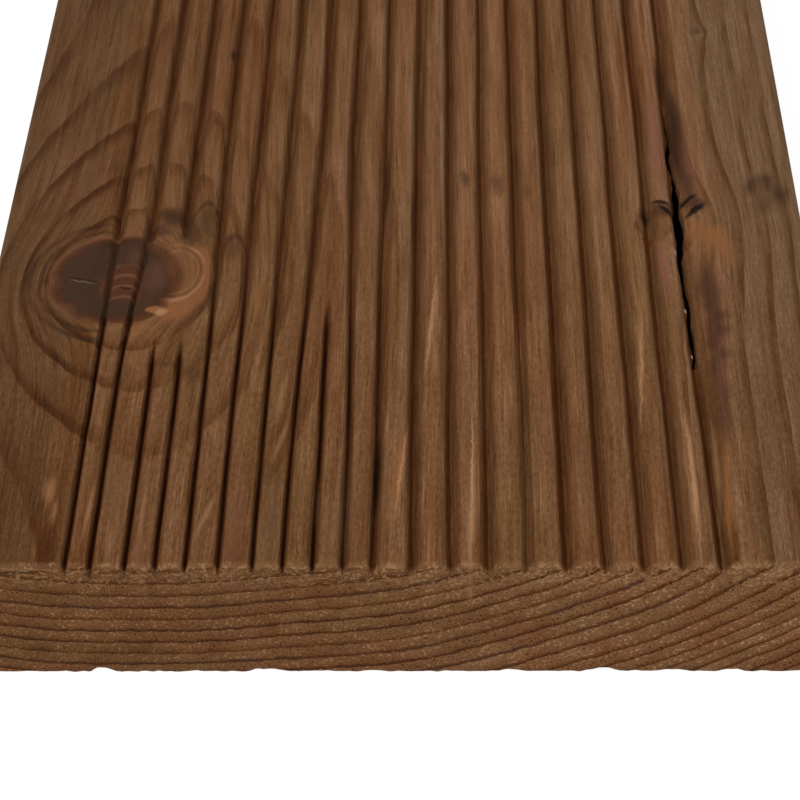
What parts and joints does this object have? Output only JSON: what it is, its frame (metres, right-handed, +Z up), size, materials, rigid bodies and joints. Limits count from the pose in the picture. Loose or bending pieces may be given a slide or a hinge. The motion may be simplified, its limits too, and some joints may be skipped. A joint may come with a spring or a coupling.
{
  "type": "decking board",
  "caption": "Long flat deck board with a reeded walking face, plain flat margins, eased long edges and square sawn ends.",
  "frame": {"origin": "middle of the underside, halfway along the board", "axes": "+X across the board, +Y along its length, +Z up out of the reeded walking face"},
  "size_m": [0.145, 1.8, 0.028],
  "materials": {
    "treated_softwood": "brown treated softwood, planed on the faces and sawn on the ends"
  },
  "bodies": {
    "root": {"deck_board": "treated_softwood"}
  },
  "joints": []
}
